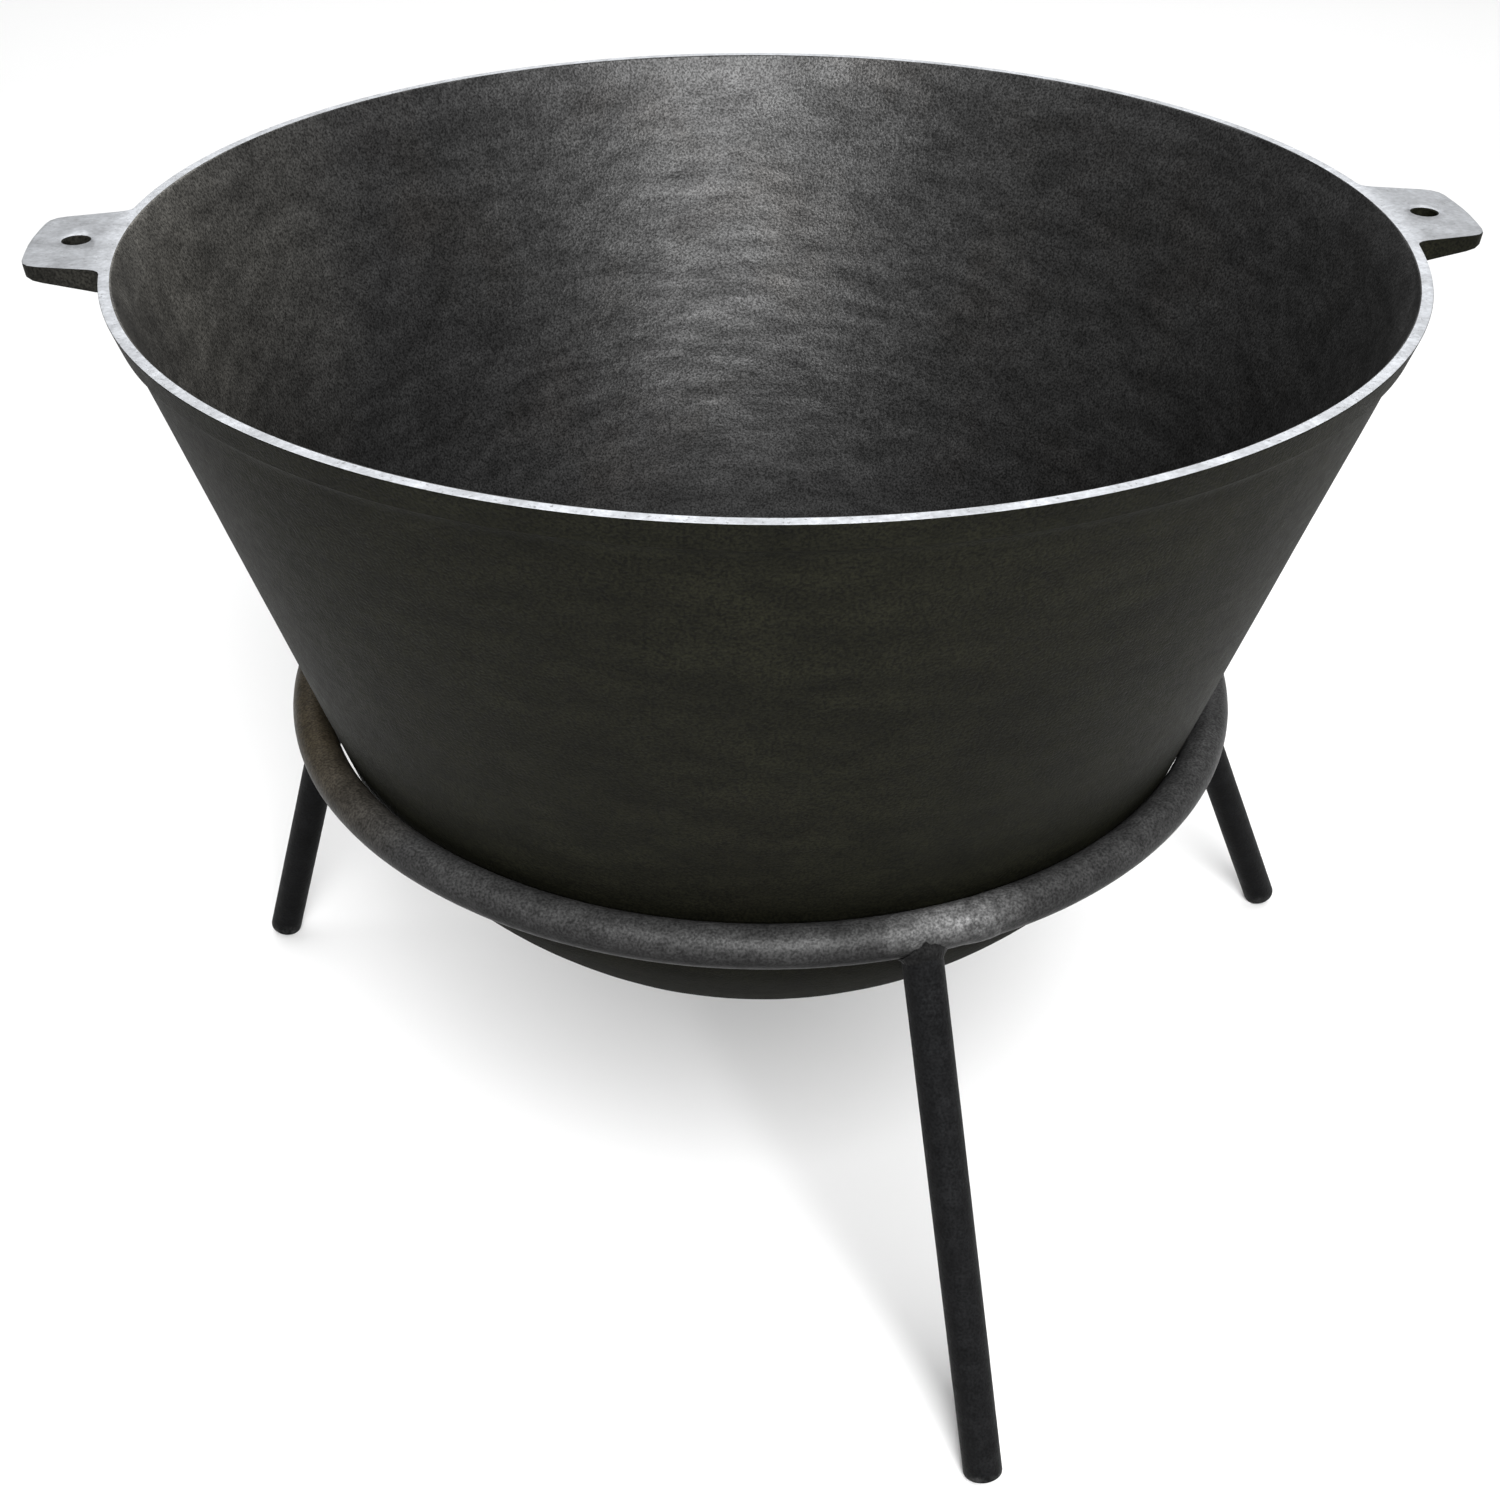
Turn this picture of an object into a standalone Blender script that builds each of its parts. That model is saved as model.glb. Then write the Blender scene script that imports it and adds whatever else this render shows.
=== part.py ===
"""Coal forge: a round-bottomed cast-iron fire bowl standing loose in a three-legged stand of round bar.

Metres, +Z up. The origin is on the ground, under the middle of the overall box. The bowl's ears lie
along X. The bowl lifts straight up out of the stand.
"""

import math

import bmesh
import bpy
from mathutils import Matrix, Vector

# Bowl, one casting with its lip and its two ears
RIM_HEIGHT = 0.500
RIM_RADIUS = 0.300
RIM_WIDTH = 0.0057
LIP_HEIGHT = 0.012
LIP_STEP = 0.0024
WALL = 0.005
WALL_SLOPE = 0.293  # inward run for each metre down
BOWL_DEPTH = 0.400
DOME_RADIUS = 0.251
KNUCKLE_RADIUS = 0.080  # between the cone and the dome
MOUTH_DEPTH = 0.014  # how far down the turned mouth blends into the cast wall

# Ears, in plan from the bowl's axis
EARS = {"right": math.radians(-1.0), "left": math.radians(181.0)}  # azimuths
EAR_ROOT = 0.2955
EAR_CORNER = 0.333
EAR_TIP = 0.336
EAR_ROOT_HALF_WIDTH = 0.0400
EAR_TIP_HALF_WIDTH = 0.0315
EAR_CORNER_RADIUS = 0.009
EAR_TIP_RADIUS = 0.060
EAR_ROOT_THICKNESS = 0.0118
EAR_TIP_THICKNESS = 0.0065
EAR_HOLE_AT = 0.3146
EAR_HOLE_RADIUS = 0.006

# Stand, welded from round bar
RING_BAR_RADIUS = 0.010
LEG_BAR_RADIUS = 0.0095
RING_HEIGHT = 0.260
CONTACT_GAP = 0.0004  # bowl to ring
GAP = 0.0003  # between the other touching pieces
FOOT_CHAMFER = 0.001
LEGS = {  # name: (azimuth of its top on the ring, azimuth that it leans towards, splay), in degrees
    "front": (-77.4, -72.5, 21.7),
    "left": (161.2, 162.7, 17.4),
    "right": (14.2, 14.6, 24.6),
}

# The ring is bent by hand, and stands a little off the bowl at one place
BOW_AZIMUTH = math.radians(-157.0)
BOW_HALF_ANGLE = math.radians(32.0)
BOW_DEPTH = 0.003

# Welds
RING_WELD_AZIMUTH = math.radians(-70.8)
RING_WELD_LENGTH = 0.006
LEG_WELD_TOP = 0.003  # from the ring bar's centre, along the leg
LEG_WELD_BOTTOM = 0.017
LEG_WELD_TOP_RADIUS = 0.0130
LEG_WELD_BOTTOM_RADIUS = 0.0105

# Facets
TURN_STEPS = 72
DOME_STEPS = 9
KNUCKLE_STEPS = 3
BAR_SIDES = 16
CORNER_STEPS = 4
HOLE_SIDES = 20

# The bowl's outside below the lip is a cone, then a knuckle, then a spherical dome, each tangent to the next
CONE_TOP_RADIUS = RIM_RADIUS - LIP_STEP  # where the cone would meet the rim's plane
CONE_ANGLE = math.atan(WALL_SLOPE)
DOME_HEIGHT = RIM_HEIGHT - BOWL_DEPTH + DOME_RADIUS  # of the sphere's centre
DOME_TO_CONE = (CONE_TOP_RADIUS - WALL_SLOPE * (RIM_HEIGHT - DOME_HEIGHT)) * math.cos(CONE_ANGLE)
KNUCKLE_OFFSET = DOME_RADIUS - KNUCKLE_RADIUS  # between the two centres
KNUCKLE_ANGLE = CONE_ANGLE + math.acos((DOME_TO_CONE - KNUCKLE_RADIUS) / KNUCKLE_OFFSET)

# The ring bar rests against the cone, so its height gives its radius
CONE_AT_RING = CONE_TOP_RADIUS - WALL_SLOPE * (RIM_HEIGHT - RING_HEIGHT)
RING_RADIUS = CONE_AT_RING + (RING_BAR_RADIUS + CONTACT_GAP) / math.cos(CONE_ANGLE)


def polar(radius, azimuth, height=0.0):
    return Vector((radius * math.cos(azimuth), radius * math.sin(azimuth), height))


def ring_radius(azimuth):
    """The ring's centre line, with the place where it stands off the bowl."""
    off = math.remainder(azimuth - BOW_AZIMUTH, math.tau) / BOW_HALF_ANGLE
    if abs(off) >= 1:
        return RING_RADIUS
    return RING_RADIUS + BOW_DEPTH * math.cos(off * math.pi / 2) ** 2


def leg_line(top_azimuth, lean_azimuth, splay):
    """A leg's joint with the ring, its direction, and its length down to a foot standing on its edge."""
    joint = polar(ring_radius(top_azimuth), top_azimuth, RING_HEIGHT)
    down = polar(math.sin(splay), lean_azimuth, -math.cos(splay))
    edge = (LEG_BAR_RADIUS - FOOT_CHAMFER) * math.sin(splay)
    return joint, down, (RING_HEIGHT - edge) / math.cos(splay)


def foot_reach(name, towards):
    """How far a leg's foot reaches in a horizontal direction from the bowl's axis."""
    joint, down, length = leg_line(*map(math.radians, LEGS[name]))
    across = math.sqrt(1 - down.dot(towards) ** 2)
    return (joint + down * length).dot(towards) + LEG_BAR_RADIUS * across


# The axis of the bowl and of the ring, at ground level, with the overall box's middle over the origin
AXIS = Vector((
    (EAR_TIP - foot_reach("right", Vector((1.0, 0.0, 0.0)))) / 2,
    (foot_reach("front", Vector((0.0, -1.0, 0.0))) - RIM_RADIUS) / 2,
    0.0,
))


def clear_scene():
    for obj in list(bpy.data.objects):
        bpy.data.objects.remove(obj, do_unlink=True)


def material(name, colour, roughness, metallic):
    made = bpy.data.materials.new(name)
    made.use_nodes = True
    shader = made.node_tree.nodes["Principled BSDF"]
    shader.inputs["Base Color"].default_value = (*colour, 1.0)
    shader.inputs["Roughness"].default_value = roughness
    shader.inputs["Metallic"].default_value = metallic
    return made


def add_object(name, bm, made_of=None, parent=None):
    """The mesh as an object. One with no material is a helper for Booleans, so it stays out of renders."""
    bmesh.ops.recalc_face_normals(bm, faces=bm.faces)
    mesh = bpy.data.meshes.new(name)
    bm.to_mesh(mesh)
    bm.free()
    mesh.shade_smooth()
    mesh.set_sharp_from_angle(angle=math.radians(35.0))
    obj = bpy.data.objects.new(name, mesh)
    bpy.context.scene.collection.objects.link(obj)
    obj.parent = parent
    if made_of is None:
        obj.hide_render = True
        obj.display_type = "WIRE"
    else:
        mesh.materials.append(made_of)
    return obj


def add_empty(name, place):
    empty = bpy.data.objects.new(name, None)
    empty.location = place
    bpy.context.scene.collection.objects.link(empty)
    return empty


def add_boolean(obj, operation, other):
    modifier = obj.modifiers.new(f"{operation.lower()} {other.name}", "BOOLEAN")
    modifier.operation = operation
    modifier.object = other
    modifier.solver = "EXACT"


def rounded(corners, radii):
    """The open outline through the corners, in plan, with an arc at each corner that has a radius."""
    outline = [corners[0]]
    for before, corner, after, radius in zip(corners, corners[1:], corners[2:], radii):
        back = (before - corner).normalized()
        on = (after - corner).normalized()
        half = back.angle(on) / 2
        centre = corner + (back + on).normalized() * radius / math.sin(half)
        start = corner + back * radius / math.tan(half) - centre
        end = corner + on * radius / math.tan(half) - centre
        sweep = start.angle_signed(end)
        for step in range(CORNER_STEPS + 1):
            turn = Matrix.Rotation(-sweep * step / CORNER_STEPS, 2)
            outline.append(centre + turn @ start)
    outline.append(corners[-1])
    return outline


def arc(centre, radius, start, end, steps):
    """Points (radius from the axis, height) round a centre, between two angles above the horizontal."""
    angles = [start + (end - start) * step / steps for step in range(steps + 1)]
    return [(centre[0] + radius * math.cos(a), centre[1] + radius * math.sin(a)) for a in angles]


def shell_profile(inset):
    """The dome and the knuckle, this far inside the bowl's outer surface, from the bottom up."""
    dome = arc((0.0, DOME_HEIGHT), DOME_RADIUS - inset, -math.pi / 2, -KNUCKLE_ANGLE, DOME_STEPS)
    dome[0] = (0.0, dome[0][1])
    centre = (
        KNUCKLE_OFFSET * math.cos(KNUCKLE_ANGLE),
        DOME_HEIGHT - KNUCKLE_OFFSET * math.sin(KNUCKLE_ANGLE),
    )
    knuckle = arc(centre, KNUCKLE_RADIUS - inset, -KNUCKLE_ANGLE, -CONE_ANGLE, KNUCKLE_STEPS)
    return dome + knuckle[1:]


def wall_profile():
    """(radius, height) up the outside from the bottom of the dome, over the rim and down the inside."""
    lip_foot = LIP_HEIGHT + LIP_STEP
    lip = [
        (CONE_TOP_RADIUS - WALL_SLOPE * lip_foot, RIM_HEIGHT - lip_foot),
        (RIM_RADIUS - WALL_SLOPE * LIP_HEIGHT, RIM_HEIGHT - LIP_HEIGHT),
        (RIM_RADIUS, RIM_HEIGHT),
    ]
    inside_top = CONE_TOP_RADIUS - WALL / math.cos(CONE_ANGLE)
    mouth = [
        (RIM_RADIUS - RIM_WIDTH, RIM_HEIGHT),
        (inside_top - WALL_SLOPE * MOUTH_DEPTH, RIM_HEIGHT - MOUTH_DEPTH),
    ]
    return shell_profile(0.0) + lip + mouth + shell_profile(WALL)[::-1]


def turned(profile):
    """A bmesh of the profile turned about Z. Both its ends lie on the axis."""
    bm = bmesh.new()
    points = [bm.verts.new((radius, 0.0, height)) for radius, height in profile]
    edges = [bm.edges.new(pair) for pair in zip(points, points[1:])]
    bmesh.ops.spin(
        bm,
        geom=points + edges,
        cent=(0.0, 0.0, 0.0),
        axis=(0.0, 0.0, 1.0),
        angle=math.tau,
        steps=TURN_STEPS,
        use_merge=True,
    )
    bmesh.ops.remove_doubles(bm, verts=bm.verts, dist=1e-6)
    return bm


def ear():
    """A flat ear along +X. Its top is in the rim's plane, and it thins towards its tip."""
    corners = [
        Vector((EAR_ROOT, -EAR_ROOT_HALF_WIDTH)),
        Vector((EAR_CORNER, -EAR_TIP_HALF_WIDTH)),
        Vector((EAR_TIP, 0.0)),
        Vector((EAR_CORNER, EAR_TIP_HALF_WIDTH)),
        Vector((EAR_ROOT, EAR_ROOT_HALF_WIDTH)),
    ]
    outline = rounded(corners, (EAR_CORNER_RADIUS, EAR_TIP_RADIUS, EAR_CORNER_RADIUS))
    bm = bmesh.new()
    top = [bm.verts.new((*point, RIM_HEIGHT)) for point in outline]
    taper = (EAR_ROOT_THICKNESS - EAR_TIP_THICKNESS) / (EAR_TIP - EAR_ROOT)
    bottom = []
    for x, y in outline:
        thickness = EAR_ROOT_THICKNESS - taper * (x - EAR_ROOT)
        bottom.append(bm.verts.new((x, y, RIM_HEIGHT - thickness)))
    bm.faces.new(top)
    bm.faces.new(bottom[::-1])
    for here in range(len(outline)):
        following = (here + 1) % len(outline)
        bm.faces.new((top[here], bottom[here], bottom[following], top[following]))
    return bm


def rod(start, end, start_radius, end_radius, sides=BAR_SIDES, chamfer=0.0):
    """A round solid from start to end, with an optional chamfer round its far end."""
    along = end - start
    bm = bmesh.new()
    place = Matrix.Translation((start + end) / 2) @ along.to_track_quat("Z", "Y").to_matrix().to_4x4()
    bmesh.ops.create_cone(
        bm,
        cap_ends=True,
        segments=sides,
        radius1=start_radius,
        radius2=end_radius,
        depth=along.length,
        matrix=place,
    )
    if chamfer:
        halfway = (start + end) / 2
        rim = [edge for edge in bm.edges if all((v.co - halfway).dot(along) > 0 for v in edge.verts)]
        bmesh.ops.bevel(bm, geom=rim, offset=chamfer, segments=1, affect="EDGES")
    return bm


def bent_bar(start, end, steps, radius, closed=False):
    """Bar of this radius along the ring's centre line, between two azimuths or right round it."""
    bm = bmesh.new()
    stations = []
    for step in range(steps if closed else steps + 1):
        azimuth = start + (end - start) * step / steps
        outward = polar(1.0, azimuth)
        centre = outward * ring_radius(azimuth) + Vector((0.0, 0.0, RING_HEIGHT))
        section = []
        for side in range(BAR_SIDES):
            angle = math.tau * side / BAR_SIDES
            offset = outward * math.cos(angle) + Vector((0.0, 0.0, math.sin(angle)))
            section.append(bm.verts.new(centre + offset * radius))
        stations.append(section)
    pairs = list(zip(stations, stations[1:]))
    if closed:
        pairs.append((stations[-1], stations[0]))
    else:
        bm.faces.new(stations[0])
        bm.faces.new(stations[-1][::-1])
    for here, there in pairs:
        for side in range(BAR_SIDES):
            beside = (side + 1) % BAR_SIDES
            bm.faces.new((here[side], there[side], there[beside], here[beside]))
    return bm


def add_bowl(iron, axis):
    bowl = add_object("bowl", turned(wall_profile()), iron, axis)
    for name, azimuth in EARS.items():
        shape = add_object(f"ear_{name}", ear(), parent=axis)
        shape.rotation_euler.z = azimuth
        add_boolean(bowl, "UNION", shape)
    for name, azimuth in EARS.items():
        top = polar(EAR_HOLE_AT, azimuth, RIM_HEIGHT + WALL)
        bottom = polar(EAR_HOLE_AT, azimuth, RIM_HEIGHT - EAR_ROOT_THICKNESS - WALL)
        drill = rod(bottom, top, EAR_HOLE_RADIUS, EAR_HOLE_RADIUS, HOLE_SIDES)
        add_boolean(bowl, "DIFFERENCE", add_object(f"hole_{name}", drill, parent=axis))


def add_ring(steel, weld, axis):
    """The bent bar, and the plug of weld metal, ground flush, that closes it."""
    half_weld = RING_WELD_LENGTH / 2 / RING_RADIUS
    half_gap = half_weld + GAP / RING_RADIUS
    start = RING_WELD_AZIMUTH + half_gap
    end = RING_WELD_AZIMUTH + math.tau - half_gap
    add_object("stand_ring", bent_bar(start, end, TURN_STEPS, RING_BAR_RADIUS), steel, axis)
    plug = bent_bar(RING_WELD_AZIMUTH - half_weld, RING_WELD_AZIMUTH + half_weld, 2, RING_BAR_RADIUS)
    add_object("ring_weld", plug, weld, axis)


def add_leg(name, joint, down, length, steel, weld, axis, ring_clearance):
    """A leg cut square at both ends, and the collar of weld that holds it under the ring."""
    top = joint + down * (RING_BAR_RADIUS + GAP)
    foot = joint + down * length
    bar = rod(top, foot, LEG_BAR_RADIUS, LEG_BAR_RADIUS, chamfer=FOOT_CHAMFER)
    add_object(f"leg_{name}", bar, steel, axis)

    collar = rod(
        joint + down * LEG_WELD_TOP,
        joint + down * LEG_WELD_BOTTOM,
        LEG_WELD_TOP_RADIUS,
        LEG_WELD_BOTTOM_RADIUS,
        2 * BAR_SIDES,
    )
    bead = add_object(f"weld_{name}", collar, weld, axis)
    clearance = LEG_BAR_RADIUS + GAP
    sleeve = rod(joint + down * RING_BAR_RADIUS, foot, clearance, clearance, 2 * BAR_SIDES)
    leg_clearance = add_object(f"leg_clearance_{name}", sleeve, parent=axis)
    add_boolean(bead, "DIFFERENCE", ring_clearance)
    add_boolean(bead, "DIFFERENCE", leg_clearance)


def main():
    clear_scene()
    iron = material("cast_iron", (0.030, 0.030, 0.027), 0.62, 0.55)
    steel = material("black_bar", (0.045, 0.045, 0.045), 0.55, 0.70)
    weld = material("weld_metal", (0.075, 0.072, 0.070), 0.60, 0.75)
    bowl_axis = add_empty("bowl_axis", AXIS)
    stand_axis = add_empty("stand_axis", AXIS)

    add_bowl(iron, bowl_axis)
    add_ring(steel, weld, stand_axis)
    clearance = bent_bar(0.0, math.tau, TURN_STEPS, RING_BAR_RADIUS + GAP, closed=True)
    ring_clearance = add_object("ring_clearance", clearance, parent=stand_axis)
    for name, angles in LEGS.items():
        line = leg_line(*map(math.radians, angles))
        add_leg(name, *line, steel, weld, stand_axis, ring_clearance)


main()
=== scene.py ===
"""Looks of the coal forge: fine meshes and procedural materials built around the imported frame.

Metres, +Z up, in the frame's own coordinates. Plan positions of the bowl and of the ring are worked out
from the bowl's axis.
"""

import math

import bmesh
import bpy
from mathutils import Matrix, Quaternion, Vector, noise


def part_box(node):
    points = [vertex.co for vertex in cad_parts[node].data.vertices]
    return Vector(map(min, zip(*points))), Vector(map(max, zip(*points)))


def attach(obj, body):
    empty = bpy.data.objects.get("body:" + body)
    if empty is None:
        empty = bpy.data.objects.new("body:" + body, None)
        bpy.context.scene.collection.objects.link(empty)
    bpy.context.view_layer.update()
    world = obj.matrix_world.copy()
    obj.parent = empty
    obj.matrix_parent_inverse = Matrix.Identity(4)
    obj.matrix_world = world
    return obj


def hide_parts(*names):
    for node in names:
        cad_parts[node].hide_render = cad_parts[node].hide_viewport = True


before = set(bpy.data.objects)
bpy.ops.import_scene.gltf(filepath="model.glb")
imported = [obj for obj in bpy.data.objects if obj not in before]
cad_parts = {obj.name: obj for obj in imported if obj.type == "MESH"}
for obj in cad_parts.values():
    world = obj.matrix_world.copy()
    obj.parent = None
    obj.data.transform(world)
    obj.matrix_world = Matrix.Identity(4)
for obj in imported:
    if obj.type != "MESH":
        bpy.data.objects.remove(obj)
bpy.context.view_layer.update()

# Bowl, from the frame
bowl_low, bowl_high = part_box("bowl")
AXIS = Vector(((bowl_low.x + bowl_high.x) / 2, (bowl_low.y + bowl_high.y) / 2, 0.0))
RIM_HEIGHT = bowl_high.z
RIM_RADIUS = (bowl_high.y - bowl_low.y) / 2
RIM_MIDDLE = AXIS + Vector((0.0, 0.0, RIM_HEIGHT))

# Bowl, sizes of the casting's section
RIM_WIDTH = 0.0057
LIP_HEIGHT = 0.012
LIP_STEP = 0.0024
WALL = 0.005
WALL_SLOPE = 0.293  # inward run for each metre down
DOME_RADIUS = 0.251
KNUCKLE_RADIUS = 0.080
MOUTH_DEPTH = 0.014  # how far down the turned mouth blends into the cast wall
CONE_START = 0.022  # below this depth the outside is a plain cone
RIM_REACHES = (0.0006, 0.0006, 0.0014, 0.0025, 0.0014, 0.0030)  # of the curves at rim_line's corners
RIM_RUNS = (4, 9, 3, 5, 2, 2, 2)  # steps of each straight run between them

# Ears, in plan from the bowl's axis
EARS = (math.radians(-1.0), math.radians(181.0))  # azimuths
EAR_ROOT = 0.2955
EAR_CORNER = 0.333
EAR_TIP = 0.336
EAR_ROOT_HALF_WIDTH = 0.0400
EAR_TIP_HALF_WIDTH = 0.0315
EAR_RUN_UP = 0.0096  # of rim before the root, in the ear's own outline
EAR_ROOT_REACH = 0.0060  # how far each way the curve in the corner at the root reaches
EAR_CORNER_REACH = 0.0075
EAR_TIP_REACH = 0.016
EAR_ROOT_THICKNESS = 0.0118
EAR_TIP_THICKNESS = 0.0065
EAR_BLEND = 0.004  # the rim's section turns into the ear's over this much of the outline's radius
EAR_UPRIGHT = 0.7  # how far an ear's edge turns from the wall's slope to upright
EAR_HOLE_AT = 0.3146
EAR_HOLE_RADIUS = 0.006
EAR_HOLE_BREAK = 0.0006  # width of the hole's broken upper edge
HOLE_SIDES = 48

# Stand
ring_low, ring_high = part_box("stand_ring")
RING_HEIGHT = (ring_low.z + ring_high.z) / 2
RING_BAR_RADIUS = (ring_high.z - ring_low.z) / 2
LEG_BAR_RADIUS = 0.0095
CONTACT_GAP = 0.00012  # bowl to ring
GAP = 0.0003  # between the other touching pieces
LEGS = ("front", "left", "right")
FOOT_EDGE = (  # distance from the leg's end, and how far inside its bar
    (0.0014, 0.0),
    (0.0006, 0.0002),
    (0.0002, 0.0006),
    (0.0, 0.0014),
    (0.0, 0.0040),
    (0.0, 0.0070),
)
FOOT_START = 0.003  # the plain bar ends this far above the leg's end
LEG_TOP_BREAK = 0.0035  # how far inside its bar the leg's hidden top end starts
BOW_AZIMUTH = math.radians(-157.0)  # the ring stands a little off the bowl here
BOW_HALF_ANGLE = math.radians(32.0)
BOW_DEPTH = 0.0009
RING_WELD_AZIMUTH = math.radians(-70.8)
RING_WELD_LENGTH = 0.006
RING_WELD_SPREAD = 0.011  # of the ground patch, each way, over both bar ends
RING_WELD_CROWN = 0.0004  # how proud its middle stands of the bar
RING_WELD_FALL = 0.0009  # from the middle to its ends, which sink into the bar
RING_WELD_OUTER = (-0.4, 0.1)  # where it rises from flush to proud, in bar radii out from the bar's middle

# Fillet weld at the top of a leg, with the toe's sizes along the ring
BEAD_TOE = 0.0121
BEAD_TOE_BESIDE = 0.0023  # how much nearer the toe is to the leg, a quarter turn on
BEAD_FOOT = 0.0126
BEAD_SINK = 0.0003  # how far its toe goes into the ring's bar
BEAD_LAP = 0.0002  # how far its foot goes into the leg's bar
BEAD_BACK = 0.0030  # how far its hidden side goes into the leg's bar
BEAD_CORNER = (0.0007, 0.0010)  # out from the leg and down from the toe, where it bulges towards
BEAD_BACK_SHORT = 0.001  # how much higher than its foot the hidden side ends
BEAD_TOE_LUMPS = (0.5, 0.0005)  # size of the toe's lumps in radii of the leg, and depth
BEAD_FOOT_LUMPS = (0.4, 0.0007, 3.0)  # the same for the foot, with a seed
BEAD_LIFT = (0.8, 0.3)  # the ripples rise this much out from the leg and this much down it
BEAD_RIPPLES = 34
BEAD_RIPPLE_HEIGHT = 0.00012
BEAD_RIPPLE_LAG = 2.2  # radians of ripple by which its middle trails its edges

# Mesh density
PLAN_STEP = 0.0072  # along the rim
EAR_STEP = 0.00208  # along an ear's outline
DOME_ROWS = 34
KNUCKLE_ROWS = 4
CONE_ROWS = 36
CORNER_STEPS = 3
BAR_SIDES = 48
BAR_STEP = 0.004
LEG_ROWS = 64
RING_WELD_ROWS = 22
BEAD_STEPS = 132  # round the leg
BEAD_ROWS = 9  # across the bead
LONGEST_REACH = 0.45  # a curve takes at most this share of the run on each side of it

# Unevenness of the surfaces: size of the lumps, their depth, and a seed where it is always the same
INSIDE_SWELL = (0.110, 0.0006, 1.0)
INSIDE_FLOW = (0.030, 0.00028, 2.0)
FLOW_STRETCH = 2.6  # the flow's lumps are this much longer round the wall than up it
OUTSIDE_SWELL = (0.140, 0.0004, 3.0)
OUTSIDE_DENTS = (0.035, 0.00010, 4.0)
BAR_SWELL = (0.045, 0.00008)
BAR_DENTS = (0.012, 0.00004)
RING_SEED = 5.0
RING_WELD_LUMPS = (0.005, 0.00030, 6.0)
BEAD_LUMPS = (0.006, 0.00025)
LEG_SEED = 7  # of the first leg and its weld
NOISE_OCTAVES = 3

# The outside below the lip is a cone, a knuckle and a spherical dome, each tangent to the next
CONE_TOP_RADIUS = RIM_RADIUS - LIP_STEP
CONE_ANGLE = math.atan(WALL_SLOPE)
DOME_HEIGHT = bowl_low.z + DOME_RADIUS
DOME_TO_CONE = (CONE_TOP_RADIUS - WALL_SLOPE * (RIM_HEIGHT - DOME_HEIGHT)) * math.cos(CONE_ANGLE)
KNUCKLE_OFFSET = DOME_RADIUS - KNUCKLE_RADIUS
KNUCKLE_ANGLE = CONE_ANGLE + math.acos((DOME_TO_CONE - KNUCKLE_RADIUS) / KNUCKLE_OFFSET)

# The ring bar rests against the cone
CONE_AT_RING = CONE_TOP_RADIUS - WALL_SLOPE * (RIM_HEIGHT - RING_HEIGHT)
RING_RADIUS = CONE_AT_RING + (RING_BAR_RADIUS + CONTACT_GAP) / math.cos(CONE_ANGLE)

# Camera, from the middle of the rim
CAMERA_OFFSET = Vector((-0.0705, -0.8479, 0.2929))
CAMERA_HEADING = math.radians(4.374)  # clockwise from +Y
CAMERA_TILT = math.radians(-34.937)
CAMERA_ROLL = math.radians(0.297)
CAMERA_LENS = 44.391
SENSOR_WIDTH = 36.0

# Places in the bowl's material slots
INSIDE, MACHINED, OUTSIDE = range(3)

# Tints, as factors on a grey
NEUTRAL = (1.0, 1.0, 1.0)
OLIVE = (1.04, 1.05, 0.60)
BLUED = (0.97, 1.0, 1.05)
WARM = (1.04, 1.0, 0.90)

SPECKLE = 1.9  # how far the casting's grain takes its colour each way, as a factor

# Places on the object where the colour changes: weathering, a lighter colour round the left ear, and a
# bright patch by the ring's weld that is partly a painted highlight
NEAR_EAR = (0.03, 0.22)  # the lighter, warmer colour round the left ear fades out between these distances from it
# the bright patch by the ring's weld, partly ground bare steel and partly a painted highlight, fades out
# between these distances from it
NEAR_RING_WELD = (0.006, 0.040)
RING_RUST_AZIMUTH = math.radians(-168.0)
NEAR_RING_RUST = (0.03, 0.13)
RING_RUST = (0.038, 0.030, 0.018, 1.0)
WORN_FOOT = (0.001, 0.010)  # heights between which the leg's bright worn foot fades out

# Studio
FLOOR_SIZE = 60.0
WORLD_LEVEL = 0.23
LIGHTS = {  # place and target from the middle of the rim, size, and power in watts
    "key": ((0.18, -1.9, 1.35), (0.0, 0.0, 0.0), (1.1, 2.0), 108.0),
    "back": ((0.4, 3.0, 1.1), (0.0, 0.0, 0.0), (3.6, 1.0), 8.0),
    "top": ((0.0, 2.6, 4.5), (0.0, 2.6, 0.0), (8.0, 6.0), 260.0),
}


def polar(radius, azimuth, height=0.0):
    """A point at this radius from the bowl's axis, in the frame."""
    return AXIS + Vector((radius * math.cos(azimuth), radius * math.sin(azimuth), height))


def smooth(low, high, value):
    """0 below low, 1 above high, and an even S between them."""
    share = min(max((value - low) / (high - low), 0.0), 1.0)
    return share * share * (3 - 2 * share)


def rough(point, size, depth, seed=0.0):
    """Uneven height of up to about depth, with lumps of about this size."""
    place = point / size + Vector((seed, 2.3 * seed, 5.1 * seed))
    return depth * noise.fractal(place, 1.0, 2.0, NOISE_OCTAVES)


def eased(count):
    """Fractions from 0 to 1, closer together near both ends."""
    return [(1 - math.cos(math.pi * step / count)) / 2 for step in range(count + 1)]


# ---------------------------------------------------------------- mesh helpers


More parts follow.
